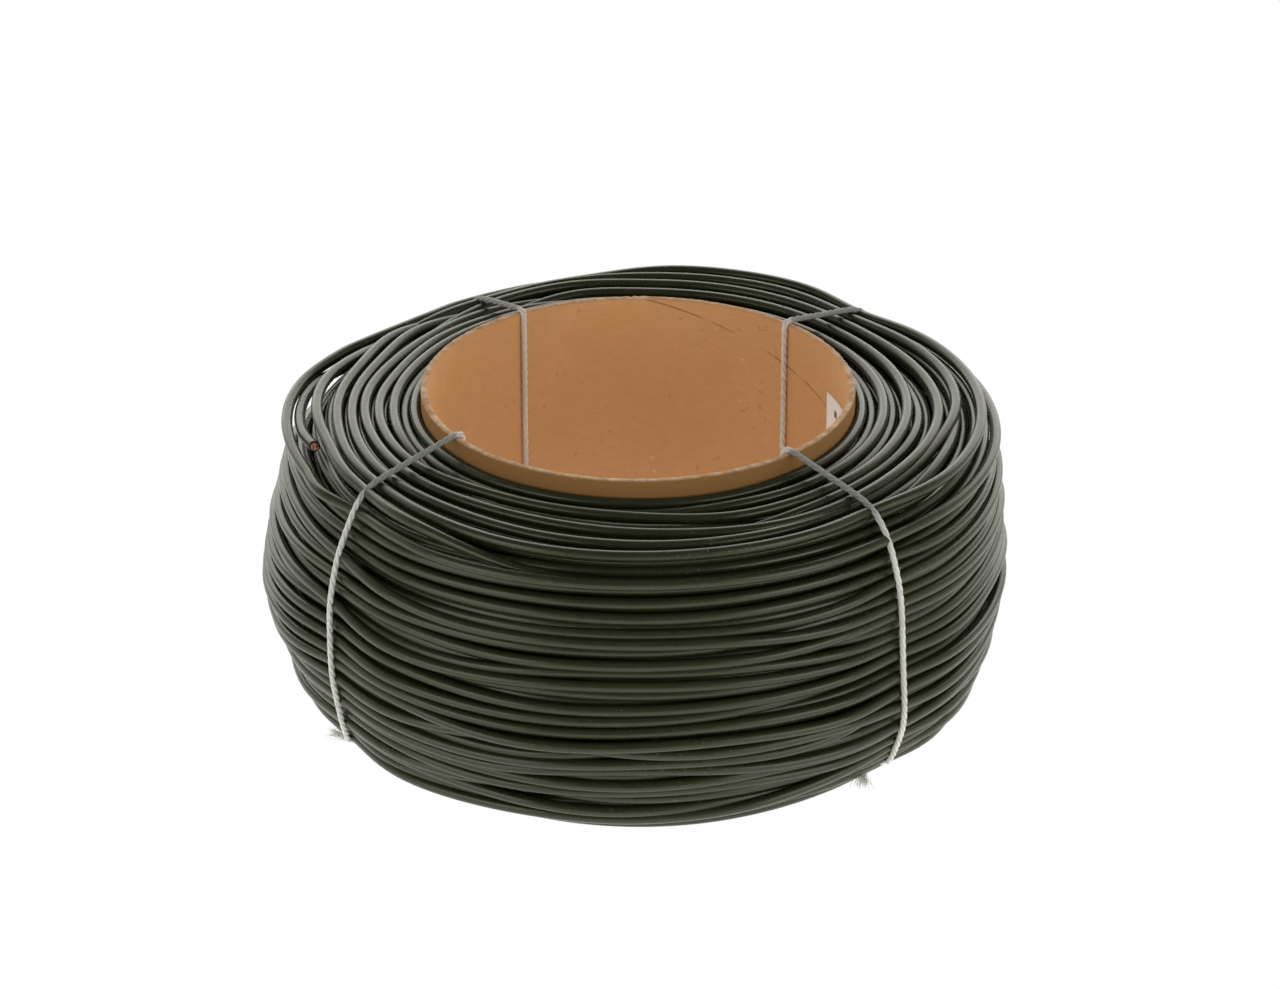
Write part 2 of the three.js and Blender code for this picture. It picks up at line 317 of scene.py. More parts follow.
# The last run of the cable, as azimuth, radius and height: it comes out of the pack at the back,
# stands off at the left, goes round once more and ends in a cut end under its own loose turn
LOOSE = np.array([
    [80, 70.6, 61.2], [90, 72.2, 63.6], [99, 73.0, 65.8], [107, 72.4, 67.1], [115.6, 71.4, 67.6],
    [127.6, 70.6, 67.9], [135.5, 70.3, 67.9], [143.1, 71.3, 67.7], [150.4, 73.4, 67.5],
    [157, 76.2, 67.1], [166.2, 79.4, 66.4], [174.4, 80.7, 65.9], [182, 80.8, 65.5],
    [189, 80.4, 65.2], [195.4, 80.0, 65.0], [201, 79.8, 64.8], [208.2, 80.2, 64.4],
])
TAIL = np.array([
    [146, 73.8, 62.4], [155, 75.0, 63.5], [162.4, 76.8, 64.3], [166.1, 77.8, 64.7],
    [171.9, 78.1, 65.0], [177.4, 78.1, 65.1], [182.3, 77.8, 65.2], [187.3, 77.2, 65.5],
    [191.2, 76.3, 65.9], [194.2, 75.6, 66.3],
])


def azimuths(n):
    """World azimuth of each step of n turns."""
    return START_AZ + 360 * np.arange(n * STEPS) / STEPS


def near_to(azimuth, middle, reach):
    """1 at the middle azimuth, falling smoothly to 0 past the reach, in degrees."""
    return np.exp(-(((azimuth - middle + 180) % 360 - 180) / reach) ** 2)


def outline_at(azimuth, z):
    """Outside radius that the finished pack should have: the profile, with a groove that the
    last turn lies in, a pocket at the left for the cut end, and slumped stretches."""
    r = np.interp(z, PROFILE_Z, PROFILE_R)
    left = np.exp(-((azimuth - 178) / 36.0) ** 2)
    r = r - 1.6 * (1 - left) * steps(z, 55, 60) - 4.6 * left * steps(z, 58, 64.5)
    r = r - 4.0 * near_to(azimuth, 130, 26) * steps(z, 52, 62)
    r = r - 3.0 * near_to(azimuth, 157, 13) * steps(z, 50, 58)
    r = r - 2.3 * near_to(azimuth, 38, 16) * steps(z, 52, 62)
    r = r + 1.0 * near_to(azimuth, 358, 20) * steps(z, 50, 60)
    r = r + 1.0 * near_to(azimuth, 186, 20) * steps(z, 18, 24) * steps(-z, -44, -36)
    r = r - 1.9 * near_to(azimuth, 194, 20) * steps(z, 44, 56)
    r = r - 1.3 * near_to(azimuth, 346, 20) * steps(z, 16, 24) * steps(-z, -44, -36)
    return r + steps(-z, -14, -6) * (1.0 * near_to(azimuth, 212, 16) - 2.0 * near_to(azimuth, 302, 20))


def blur(field, times):
    """A field over azimuth and height, smoothed; azimuth closes on itself."""
    for _ in range(times):
        field = 0.25 * np.roll(field, 1, 0) + 0.5 * field + 0.25 * np.roll(field, -1, 0)
    for _ in range(times * 4):
        wide = np.concatenate([field[:, :1], field, field[:, -1:]], axis=1)
        field = 0.25 * wide[:, :-2] + 0.5 * wide[:, 1:-1] + 0.25 * wide[:, 2:]
    return field


grid_az = (START_AZ + 360 * np.arange(STEPS) / STEPS) % 360
reached = blur(surface, 25)
wanted = outline_at(grid_az[:, None], HEIGHTS[None])
change = wanted - reached - 0.3


def shaped(azimuth, r, z):
    """Moves points of the pack in or out so that its outside has the wanted outline."""
    i = ((azimuth - START_AZ) % 360) / 360 * STEPS
    i0 = np.floor(i).astype(int) % STEPS
    f = i - np.floor(i)
    k = np.clip(np.rint(z / CELL).astype(int), 0, len(HEIGHTS) - 1)
    shift = change[i0, k] * (1 - f) + change[(i0 + 1) % STEPS, k] * f
    outer = reached[i0, k]
    return r + shift * np.clip((r - CORE_R - RC) / (outer - CORE_R - RC), 0, 1) ** 1.3


# Azimuth of each tie at the heights below, from the floor to the rim
TIE_Z = (0, 6, 12, 22, 33, 49, 60, 66, 70.5, 73, 74)
TIES = {
    "tie_back_right": (44,) * 9 + (43.6, 43.6),
    "tie_back_left": (124,) * 9 + (124.6, 124.6),
    "tie_front_left": (211.7, 213.2, 214.8, 216.0, 216.0, 215.7, 216.8, 217.0, 216.7, 214.8, 214.4),
    "tie_front_right": (319.1, 317.4, 316.0, 314.2, 313.6, 314.1, 313.0, 312.8, 313.6, 314.1, 313.2),
}


def tie_azimuth(tie, z):
    """Azimuth of a tie outside the pack at height z."""
    return np.interp(z, TIE_Z, TIES[tie])


def pressed(azimuth, r, z):
    """Pulls turns in under each tie, most at the shoulders."""
    for tie in TIES:
        off = (azimuth - tie_azimuth(tie, z) + 180) % 360 - 180
        pull = np.exp(-(np.radians(off) * r / 13.0) ** 2)
        outer = np.interp(z, PROFILE_Z, PROFILE_R)
        near = np.clip(1 - (outer - r) / 9, 0, 1)
        corner = steps(z, 50, 66) + steps(-z, -20, -3)
        r = r - pull * near * (1.3 + 0.7 * corner + 1.2 * steps(z, 18, 30) * steps(-z, -48, -34))
        z = z - 0.7 * pull * steps(z, 55, 68) * steps(r, 64, 76)
    return r, z


def cleared(azimuth, r, z):
    """Keeps the turns clear of the loose turn and of the cut end, which lie on the shoulder."""
    for edge, low, high in ((UNDER_TAIL, 61.8, 63.4), (UNDER_LOOSE, 65.2, 66.6)):
        limit = np.interp(azimuth % 360, edge[:, 0], edge[:, 1]) - RC
        r = r + (np.minimum(r, limit) - r) * steps(z, low, high)
    return r


def evened(x, times):
    """A value along the cable, smoothed."""
    for _ in range(times):
        wide = np.concatenate([x[:1], x, x[-1:]])
        x = 0.25 * wide[:-2] + 0.5 * wide[1:-1] + 0.25 * wide[2:]
    return x


# Azimuth, and the radius that the top turns stay within there
UNDER_TAIL = np.array([[140, 95], [150, 74.8], [158, 74.4], [166, 75.6], [174, 76.0], [182, 75.6],
                       [190, 74.6], [197, 73.6], [205, 75.0], [214, 80], [224, 95]])
UNDER_LOOSE = np.array([[78, 95], [90, 76.0], [99, 72.4], [107, 71.6], [116, 70.6], [128, 69.8],
                        [136, 69.6], [143, 70.6], [150, 72.4], [158, 74.4], [166, 75.6], [174, 76.0],
                        [182, 75.6], [190, 74.6], [197, 73.6], [208, 77.0], [222, 95]])

turns = len(wound_z)
az_all = azimuths(turns)
z_all = wound_z.ravel()
r_raw = wound_r.ravel()
deep = surface[np.arange(len(z_all)) % STEPS, np.rint(z_all / CELL).astype(int)] - r_raw
r_all = cleared(az_all, shaped(az_all, r_raw, z_all), z_all)
last = len(r_all)
r_all = evened(r_all, 14) - 4.0 * steps(np.arange(last), last - 22, last - 4)
r_all, z_laid = pressed(az_all, r_all, z_all)
seen = (deep < 7.5) | (z_all > TOP - 6.5) | (z_all < 4.2)
for _ in range(4):
    seen = seen | np.roll(seen, 1) | np.roll(seen, -1)
edges = np.flatnonzero(np.diff(np.concatenate([[0], seen.astype(int), [0]])))
runs = [(a, b) for a, b in zip(edges[::2], edges[1::2]) if b - a > 9]
paths = around(az_all, r_all, z_laid)


# Materials

def material(name, colour, roughness, metallic=0.0, specular=0.5):
    """A material with one Principled shader and plain starting values."""
    mat = bpy.data.materials.new(name)
    mat.use_nodes = True
    bsdf = mat.node_tree.nodes["Principled BSDF"]
    bsdf.inputs["Base Color"].default_value = (*colour, 1)
    bsdf.inputs["Roughness"].default_value = roughness
    bsdf.inputs["Metallic"].default_value = metallic
    bsdf.inputs["Specular IOR Level"].default_value = specular
    return mat


def group(name, inputs, outputs):
    """An empty shader node group, with named sockets: inputs have a starting value each."""
    tree = bpy.data.node_groups.new(name, "ShaderNodeTree")
    for label_text, value in inputs:
        socket = tree.interface.new_socket(label_text, in_out="INPUT", socket_type="NodeSocketFloat")
        socket.default_value = value
    for label_text in outputs:
        tree.interface.new_socket(label_text, in_out="OUTPUT", socket_type="NodeSocketFloat")
    return tree, tree.nodes.new("NodeGroupInput"), tree.nodes.new("NodeGroupOutput")


def noise(tree, vector, scale, detail=3.0, rough=0.5):
    """A noise texture; scale is a number or a socket."""
    node = tree.nodes.new("ShaderNodeTexNoise")
    node.inputs["Detail"].default_value = detail
    node.inputs["Roughness"].default_value = rough
    tree.links.new(vector, node.inputs["Vector"])
    if isinstance(scale, (int, float)):
        node.inputs["Scale"].default_value = scale
    else:
        tree.links.new(scale, node.inputs["Scale"])
    return node.outputs["Fac"]


def maths(tree, kind, *values):
    """A Math node whose inputs are numbers or sockets."""
    node = tree.nodes.new("ShaderNodeMath")
    node.operation = kind
    for socket, value in zip(node.inputs, values):
        if isinstance(value, (int, float)):
            socket.default_value = value
        else:
            tree.links.new(value, socket)
    return node.outputs[0]


def ramp(tree, value, low, high):
    """0 below low and 1 above high."""
    node = tree.nodes.new("ShaderNodeMapRange")
    node.interpolation_type = "SMOOTHSTEP"
    node.inputs["From Min"].default_value = low
    node.inputs["From Max"].default_value = high
    tree.links.new(value, node.inputs["Value"])
    return node.outputs["Result"]


def mixed(tree, mask, first, second):
    """A mix of two colours, each a tuple or a socket."""
    node = tree.nodes.new("ShaderNodeMix")
    node.data_type = "RGBA"
    tree.links.new(mask, node.inputs["Factor"])
    for socket, colour in ((node.inputs[6], first), (node.inputs[7], second)):
        if isinstance(colour, tuple):
            socket.default_value = (*colour, 1)
        else:
            tree.links.new(colour, socket)
    return node.outputs[2]


def object_place(tree):
    """The point's own place on the object, in metres."""
    return tree.nodes.new("ShaderNodeTexCoord").outputs["Object"]


def split_xyz(tree, vector):
    """The three parts of a vector."""
    node = tree.nodes.new("ShaderNodeSeparateXYZ")
    tree.links.new(vector, node.inputs[0])
    return node.outputs


def from_axis(tree, x, y):
    """Distance from the tube's axis: the root of x squared and y squared."""
    return maths(tree, "SQRT", maths(tree, "ADD", maths(tree, "MULTIPLY", x, x),
                                     maths(tree, "MULTIPLY", y, y)))


def make_specks():
    """Small specks, sharp and scattered: fine noise above a threshold, thinned by a broad one."""
    tree, given, result = group("specks", [("Scale", 900.0), ("Spread", 60.0), ("Threshold", 0.7)],
                                ["Mask"])
    place = object_place(tree)
    fine = noise(tree, place, given.outputs["Scale"], 2.0)
    broad = noise(tree, place, given.outputs["Spread"], 1.0)
    value = maths(tree, "ADD", fine, maths(tree, "MULTIPLY", broad, 0.35))
    over = maths(tree, "SUBTRACT", value, given.outputs["Threshold"])
    tree.links.new(ramp(tree, over, 0.175, 0.215), result.inputs["Mask"])
    return tree


def make_mottle():
    """Soft uneven patches at two sizes, between 0 and 1."""
    tree, given, result = group("mottle", [("Broad Scale", 30.0), ("Fine Scale", 400.0)], ["Value"])
    place = object_place(tree)
    broad = noise(tree, place, given.outputs["Broad Scale"], 2.0)
    fine = noise(tree, place, given.outputs["Fine Scale"], 3.0, 0.6)
    value = maths(tree, "ADD", maths(tree, "MULTIPLY", broad, 0.6), maths(tree, "MULTIPLY", fine, 0.4))
    tree.links.new(ramp(tree, value, 0.32, 0.68), result.inputs["Value"])
    return tree


SPECKS, MOTTLE = make_specks(), make_mottle()


def placed(tree, source, **values):
    """A node group placed in a material with its own values."""
    node = tree.nodes.new("ShaderNodeGroup")
    node.node_tree = source
    for name, value in values.items():
        node.inputs[name.replace("_", " ")].default_value = value
    return node.outputs[0]


def bumped(tree, bsdf, height, distance, strength=1.0):
    """A Bump node from a height, feeding the Normal."""
    node = tree.nodes.new("ShaderNodeBump")
    node.inputs["Distance"].default_value = distance
    node.inputs["Strength"].default_value = strength
    tree.links.new(height, node.inputs["Height"])
    tree.links.new(node.outputs["Normal"], bsdf.inputs["Normal"])


def along_cable(tree, across, along):
    """A vector from the cable's own map, stretched along it."""
    uv = tree.nodes.new("ShaderNodeUVMap")
    uv.uv_map = "along"
    scale = tree.nodes.new("ShaderNodeMapping")
    scale.inputs["Scale"].default_value = (along, across, 1)
    tree.links.new(uv.outputs["UV"], scale.inputs["Vector"])
    return scale.outputs["Vector"]


def cable_sheath():
    """Dull black plastic with an olive cast, faint draw lines along it, rubbed patches and dust."""
    mat = material("cable_sheath", (0.0175, 0.0195, 0.006), 0.25)
    tree = mat.node_tree
    bsdf = tree.nodes["Principled BSDF"]
    bsdf.inputs["Specular Tint"].default_value = (1.0, 0.985, 0.88, 1)
    patches = placed(tree, MOTTLE, Broad_Scale=26.0, Fine_Scale=420.0)
    dust = placed(tree, SPECKS, Scale=1500.0, Spread=45.0, Threshold=0.705)
    body = mixed(tree, patches, (0.0150, 0.0186, 0.0045), (0.0232, 0.0266, 0.0080))
    colour = mixed(tree, maths(tree, "MULTIPLY", dust, 0.35), body, (0.16, 0.15, 0.12))
    tree.links.new(colour, bsdf.inputs["Base Color"])
    lines = noise(tree, along_cable(tree, 9.0, 4.0), 3.0, 4.0, 0.6)
    rough = maths(tree, "ADD", maths(tree, "MULTIPLY", patches, 0.10), 0.21)
    rough = maths(tree, "ADD", rough, maths(tree, "MULTIPLY", lines, 0.06))
    tree.links.new(maths(tree, "ADD", rough, maths(tree, "MULTIPLY", dust, 0.3)),
                   bsdf.inputs["Roughness"])
    bumped(tree, bsdf, lines, 0.00004, 0.6)
    return mat


def card():
    """Brown board: wound plies with a spiral seam, fibres, specks, a pale torn edge at the rim and
    a darker outside, which is painted shade."""
    mat = material("card", (0.45, 0.2, 0.085), 0.9, specular=0.25)
    tree = mat.node_tree
    bsdf = tree.nodes["Principled BSDF"]
    place = object_place(tree)
    x, y, z = split_xyz(tree, place)
    turn = maths(tree, "ARCTAN2", y, x)
    radius = from_axis(tree, x, y)
    seam_z = maths(tree, "ADD", maths(tree, "MULTIPLY", turn, 0.0132), 0.0523)
    wander = noise(tree, place, 40.0, 2.0)
    seam_z = maths(tree, "ADD", seam_z, maths(tree, "MULTIPLY", wander, 0.0008))
    off = maths(tree, "SUBTRACT", z, seam_z)
    seam = ramp(tree, maths(tree, "ABSOLUTE", off), 0.00034, 0.00008)
    broken = ramp(tree, noise(tree, place, 160.0, 3.0), 0.36, 0.56)
    seam = maths(tree, "MULTIPLY", seam, broken)
    stretched = tree.nodes.new("ShaderNodeCombineXYZ")
    for socket, value in zip(stretched.inputs, (maths(tree, "MULTIPLY", turn, 1.9),
                                                maths(tree, "MULTIPLY", radius, 12.0),
                                                maths(tree, "MULTIPLY", z, 150.0))):
        tree.links.new(value, socket)
    fibre = noise(tree, stretched.outputs[0], 9.0, 5.0, 0.65)
    patches = placed(tree, MOTTLE, Broad_Scale=34.0, Fine_Scale=260.0)
    dark = placed(tree, SPECKS, Scale=640.0, Spread=70.0, Threshold=0.705)
    pale = placed(tree, SPECKS, Scale=820.0, Spread=28.0, Threshold=0.760)
    body = mixed(tree, patches, (0.605, 0.335, 0.145), (0.645, 0.366, 0.174))
    body = mixed(tree, maths(tree, "MULTIPLY", ramp(tree, fibre, 0.35, 0.75), 0.35), body,
                 (0.565, 0.285, 0.115))
    body = mixed(tree, maths(tree, "MULTIPLY", dark, 0.30), body, (0.26, 0.12, 0.05))
    body = mixed(tree, maths(tree, "MULTIPLY", pale, 0.75), body, (0.72, 0.50, 0.30))
    body = mixed(tree, maths(tree, "MULTIPLY", seam, 0.55), body, (0.17, 0.07, 0.03))
    # painted shade: the tube's outside wall is coloured darker than the inside, for the lower light that
    # falls on it
    painted_shade_outside = ramp(tree, radius, 0.0494, 0.0499)
    body = mixed(tree, painted_shade_outside, body, (0.350, 0.178, 0.060))
    torn = maths(tree, "ADD", z, maths(tree, "MULTIPLY", wander, 0.0006))
    rim_at = ramp(tree, torn, 0.07315, 0.0735)
    grey = mixed(tree, placed(tree, MOTTLE, Broad_Scale=300.0, Fine_Scale=1400.0),
                 (0.40, 0.225, 0.115), (0.74, 0.53, 0.36))
    body = mixed(tree, rim_at, body, grey)
    tree.links.new(body, bsdf.inputs["Base Color"])
    rise = maths(tree, "ADD", maths(tree, "MULTIPLY", fibre, 0.5), maths(tree, "MULTIPLY", patches, 0.3))
    rise = maths(tree, "SUBTRACT", rise, maths(tree, "MULTIPLY", seam, 0.9))
    bumped(tree, bsdf, rise, 0.00012)
    return mat


def twine():
    """Off-white spun thread: fibres along each strand, painted light that makes it whiter near the
    floor, and painted shade that makes it grey where it lies on top.
    """
    mat = material("twine", (0.82, 0.8, 0.76), 0.95, specular=0.2)
    tree = mat.node_tree
    bsdf = tree.nodes["Principled BSDF"]
    bsdf.inputs["Subsurface Weight"].default_value = 0.3
    bsdf.inputs["Subsurface Radius"].default_value = (1.0, 0.95, 0.85)
    bsdf.inputs["Subsurface Scale"].default_value = 0.002
    thread = noise(tree, along_cable(tree, 7.0, 60.0), 4.0, 4.0, 0.7)
    patches = placed(tree, MOTTLE, Broad_Scale=120.0, Fine_Scale=1500.0)
    body = mixed(tree, patches, (0.70, 0.68, 0.63), (0.86, 0.845, 0.81))
    body = mixed(tree, maths(tree, "MULTIPLY", ramp(tree, thread, 0.35, 0.65), 0.30), body,
                 (0.60, 0.57, 0.51))
    x, y, z = split_xyz(tree, object_place(tree))
    out = from_axis(tree, x, y)
    # painted light: twine near the floor is coloured whiter, for the light of the glowing floor below it
    body = mixed(tree, ramp(tree, z, 0.0045, 0.0015), body, (0.96, 0.95, 0.92))
    # painted shade: twine that lies on top of the pack and the rim is coloured grey, for the weak light
    # from above
    painted_shade_on_top = maths(tree, "MULTIPLY", ramp(tree, z, 0.0660, 0.0695), ramp(tree, out, 0.0488, 0.0505))
    body = mixed(tree, maths(tree, "MULTIPLY", painted_shade_on_top, 0.85), body, (0.27, 0.27, 0.25))
    tree.links.new(body, bsdf.inputs["Base Color"])
    bumped(tree, bsdf, thread, 0.00012)
    return mat


def copper():
    """Bright drawn copper, a little tarnished."""
    mat = material("copper", (0.95, 0.42, 0.22), 0.32, metallic=0.35)
    tree = mat.node_tree
    bsdf = tree.nodes["Principled BSDF"]
    patches = placed(tree, MOTTLE, Broad_Scale=900.0, Fine_Scale=5000.0)
    tree.links.new(mixed(tree, patches, (0.98, 0.40, 0.22), (1.0, 0.66, 0.48)),
                   bsdf.inputs["Base Color"])
    tree.links.new(maths(tree, "ADD", maths(tree, "MULTIPLY", patches, 0.2), 0.25),
                   bsdf.inputs["Roughness"])
    return mat


def label_paper():
    """White paper with a few plain dark blocks and fine bars, which say nothing."""
    mat = material("label", (0.82, 0.82, 0.8), 0.55)
    tree = mat.node_tree
    bsdf = tree.nodes["Principled BSDF"]
    uv = tree.nodes.new("ShaderNodeUVMap")
    uv.uv_map = "along"
    across, up, _ = split_xyz(tree, uv.outputs["UV"])

    def band(value, low, high):
        """1 where the value is between low and high."""
        middle, half = (low + high) / 2, (high - low) / 2
        far = maths(tree, "ABSOLUTE", maths(tree, "SUBTRACT", value, middle))
        return maths(tree, "LESS_THAN", far, half)

    marks = None
    for left, right, low, high in ((0.825, 0.875, 0.82, 0.89), (0.755, 0.80, 0.82, 0.865),
                                   (0.64, 0.73, 0.82, 0.865), (0.62, 0.90, 0.66, 0.69),
                                   (0.62, 0.86, 0.58, 0.61), (0.10, 0.50, 0.80, 0.86)):
        block = maths(tree, "MULTIPLY", band(across, left, right), band(up, low, high))
        marks = block if marks is None else maths(tree, "MAXIMUM", marks, block)
    wave = maths(tree, "SINE", maths(tree, "MULTIPLY", across, 230.0))
    patch = maths(tree, "MULTIPLY", band(across, 0.1, 0.5), band(up, 0.15, 0.6))
    bars = maths(tree, "MULTIPLY", patch, maths(tree, "GREATER_THAN", wave, 0.1))
    ink = maths(tree, "MAXIMUM", marks, bars)
    grime = placed(tree, MOTTLE, Broad_Scale=80.0, Fine_Scale=900.0)
    paper = mixed(tree, grime, (0.84, 0.83, 0.80), (0.92, 0.92, 0.91))
    tree.links.new(mixed(tree, maths(tree, "MULTIPLY", ink, 0.9), paper, (0.05, 0.05, 0.05)),
                   bsdf.inputs["Base Color"])
    bumped(tree, bsdf, grime, 0.00003)
    return mat


cable_mat, card_mat, twine_mat = cable_sheath(), card(), twine()
copper_mat, label_mat = copper(), label_paper()
floor_mat = material("floor", (0.9, 0.9, 0.9), 0.6, specular=0.2)


# Winding meshes: the turns that can be seen, shared out among a few pieces

def winding_pieces():
    """The runs of cable in order, in lists that stay under PIECE_TRIANGLES each."""
    pieces, count = [[]], 0
    for a, b in runs:
        n = (b - a) * 2 * SHEATH_SIDES
        if count + n > PIECE_TRIANGLES:
            pieces.append([])
            count = 0
        pieces[-1].append((a, b))
        count += n
    return pieces


for k, share in enumerate(winding_pieces()):
    tubes = [tube(paths[a:b], RC, SHEATH_SIDES) for a, b in share]
    obj = tube_object("winding_%d" % (k + 1), tubes, cable_mat)
    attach(obj, "root")
    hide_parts("cable_winding")


def last_run():
    """Path of the loose turn and of the turn that follows it on the pack's shoulder."""
    az = np.arange(211.0, 511.0, 2.0)
    z = np.interp(az, [211, 300, 400, 450, 511], [64.3, 63.4, 62.6, 62.0, 62.4])
    i = np.rint(((az - START_AZ) % 360) / 2).astype(int) % STEPS
    k = np.rint(z / CELL).astype(int)
    out = np.array([surface[a, max(0, b - 7):b + 8].max() for a, b in zip(i, k)])
    r = shaped(az, out, z) + RC * 0.85
    wide = np.concatenate([[r[0]] * 3, r, [r[-1]] * 3])
    r = np.array([wide[j:j + 7].max() for j in range(len(r))])
    r, z = pressed(az, evened(r, 8), z)
    on_pack = around(az, r, z)
    loose = around(LOOSE[:, 0], LOOSE[:, 1], LOOSE[:, 2])
    tail = around(TAIL[:, 0], TAIL[:, 1], TAIL[:, 2])
    return loose, on_pack, tail


loose_points, on_pack, tail_points = last_run()
free_line = smooth_run(np.vstack([loose_points, on_pack[3:-8:5], tail_points]), 1.0)
BORE = 1.0
free_turn = tube_object("free_end_cable", [tube(free_line, RC, 20, bore=(BORE, 5.0))], cable_mat)
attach(free_turn, "root")
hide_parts("loose_turn", "cable_tail", "cable_winding")


# Copper: nineteen strands, one in the middle and two laid rings about it

def strand_paths(line, ring, count, radius, lay_length, reach):
    """Centre lines of the strands of one ring, twisted about the line's last stretch."""
    along = np.cumsum(np.linalg.norm(np.diff(line, axis=0), axis=1))
    part = line[-int(len(line) * 4.6 / along[-1]) - 2:]
    ahead = tangents(part)[-1]
    part = even(np.vstack([part, part[-1] + ahead * reach]), 0.4)
    side, lift = frames(part, (0, 0, 1))
    s_at = np.arange(len(part)) * 0.4
    for k in range(count):
        f = 2 * np.pi * (k / count + s_at / lay_length) + ring
        yield part + radius * (np.cos(f)[:, None] * side + np.sin(f)[:, None] * lift)


STRAND = 0.19
rng = np.random.default_rng(21)
strands = []
for ring, (count, radius, lay_length) in enumerate(((1, 0.0, 20), (6, 0.39, 16), (12, 0.77, 22))):
    for line in strand_paths(free_line, ring, count, radius, lay_length, 0.42):
        reach = rng.integers(0, 2)
        strands.append(tube(line[:len(line) - reach], STRAND, 8))
copper_core = tube_object("copper_strands", strands, copper_mat)
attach(copper_core, "root")
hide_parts("conductor_end")


# Card tube: a closed section carried round the axis

def lathe(name, section, sides, mat, wobble=None):
    """Section points (r, z) turned about Z on a grid of angle by section."""
    a = 2 * np.pi * np.arange(sides) / sides
    sec = np.asarray(section, dtype=float)
    r = np.broadcast_to(sec[:, 0], (sides, len(sec))).copy()
    z = np.broadcast_to(sec[:, 1], (sides, len(sec))).copy()
    if wobble is not None:
        dr, dz = wobble(a[:, None], sec)
        r += dr
        z += dz
    pts = np.stack([r * np.cos(a)[:, None], r * np.sin(a)[:, None], z], axis=-1).reshape(-1, 3)
    faces = grid_faces(sides, len(sec), close_rows=True, close_cols=True)
    return mesh_object(name, pts, faces[:, ::-1], mat)


def noise_ring(a, seed, waves, low):
    """A sum of waves round the ring, falling off with their number."""
    rng = np.random.default_rng(seed)
    out = 0 * a
    for q in range(low, low + waves):
        out = out + rng.normal(0, 1) * np.sin(q * a + rng.uniform(0, 6.28)) / math.sqrt(waves)
    return out


def rim_wobble(a, sec):
    """A torn, fuzzy cut edge, with a nick where the spiral ply ends at the back."""
    at_rim = (sec[:, 1] > RIM_Z - 1).astype(float)[None]
    inner = (sec[:, 0] < CORE_IN + 1).astype(float)[None]
    nick = np.exp(-((np.degrees(a) - 91.5) / 1.3) ** 4)
    ragged = 0.5 + 0.5 * noise_ring(a, 5, 60, 120)
    dr = 0.03 * noise_ring(a, 3, 90, 40) * at_rim - 0.22 * nick * inner * at_rim
    dz = (0.035 * noise_ring(a, 4, 160, 20) + nick * (0.25 * ragged - 0.15)) * at_rim
    return dr, dz


levels = np.concatenate([np.linspace(2.3, RIM_Z - 2, 20), [RIM_Z - 1.2, RIM_Z - 0.6, RIM_Z - 0.25]])
inner_wall = [(CORE_IN, z) for z in levels[::-1]]
outer_wall = [(CORE_R - 0.05, z) for z in levels]
rim = [(CORE_R - 0.25, RIM_Z - 0.06), (CORE_R - 0.6, RIM_Z), (CORE_IN + 0.8, RIM_Z - 0.03),
       (CORE_IN + 0.25, RIM_Z - 0.08)]
core = lathe("core_card", outer_wall + rim + inner_wall, 1080, card_mat, rim_wobble)
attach(core, "root")
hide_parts("core_tube")


# Ties: a taut line round the section of the pack, twisted from three strands

def hull(points):
    """Convex hull of points in a plane, anticlockwise."""
    pts = sorted(map(tuple, np.round(points, 4)))

    def half(seq):
        """One side of the hull: points are dropped while they turn the wrong way."""
        out = []
        for p in seq:
            while len(out) > 1 and ((out[-1][0] - out[-2][0]) * (p[1] - out[-2][1])
                                    - (out[-1][1] - out[-2][1]) * (p[0] - out[-2][0])) <= 0:
                out.pop()
            out.append(p)
        return out
    lower, upper = half(pts), half(pts[::-1])
    return np.array(lower[:-1] + upper[:-1])


def tie_line(tie):
    """The tie's centre line: the hull of the turns and the tube where it crosses them, moved
    out by its own radius, closed at the foot outside and rounded where it lies on the turns."""
    foot, rim = TIES[tie][0], TIES[tie][-1]
    off = (az_all - tie_azimuth(tie, z_laid) + 180) % 360 - 180
    at = np.abs(off) <= 1.01
    place = around(tie_azimuth(tie, 63), 80, 0)
    near = np.argmin(np.linalg.norm(on_pack[:, :2] - place[:2], axis=1))
    r = np.append(r_all[at], np.hypot(on_pack[near, 0], on_pack[near, 1]))
    z = np.append(z_laid[at], on_pack[near, 2])
    lift = RC + TWINE / 2 - 0.35
    a = np.linspace(0, 2 * np.pi, 24, endpoint=False)
    ring = np.stack([(r[:, None] + lift * np.cos(a)).ravel(),
                     (z[:, None] + lift * np.sin(a)).ravel()], 1)
    tw = TWINE / 2 - 0.1
    card = np.stack([np.repeat([CORE_IN, CORE_R, CORE_IN, CORE_R], 24),
                     np.repeat([2.3, 2.3, RIM_Z, RIM_Z], 24)], 1)
    card = card + tw * np.stack([np.tile(np.cos(a), 4), np.tile(np.sin(a), 4)], 1)
    ring = ring[ring[:, 1] > 0.8]
    line = hull(np.vstack([ring, card]))
    line[:, 1] = np.maximum(line[:, 1], 0.85)
    inside = line[:, 0] < CORE_IN + 1
    az = np.where(inside, rim, tie_azimuth(tie, line[:, 1]))
    under = line[:, 1] < 3
    share = np.clip((line[:, 0] - CORE_IN) / 30, 0, 1)
    az = np.where(under, rim + (foot - rim) * share, az)
    start = np.argmin(np.abs(line[:, 1] - 3.4) + 100 * (line[:, 0] < 60))
    order = np.roll(np.arange(len(line)), -start)
    order = np.append(order, order[0])
    path = even(around(az[order], line[order, 0], line[order, 1]), 0.35)
    loose = steps(np.hypot(path[:, 0], path[:, 1]), 58, 64)[:, None]
    for _ in range(150):
        mean = 0.25 * path[:-2] + 0.5 * path[1:-1] + 0.25 * path[2:]
        path[1:-1] += (mean - path[1:-1]) * loose[1:-1]
    return path


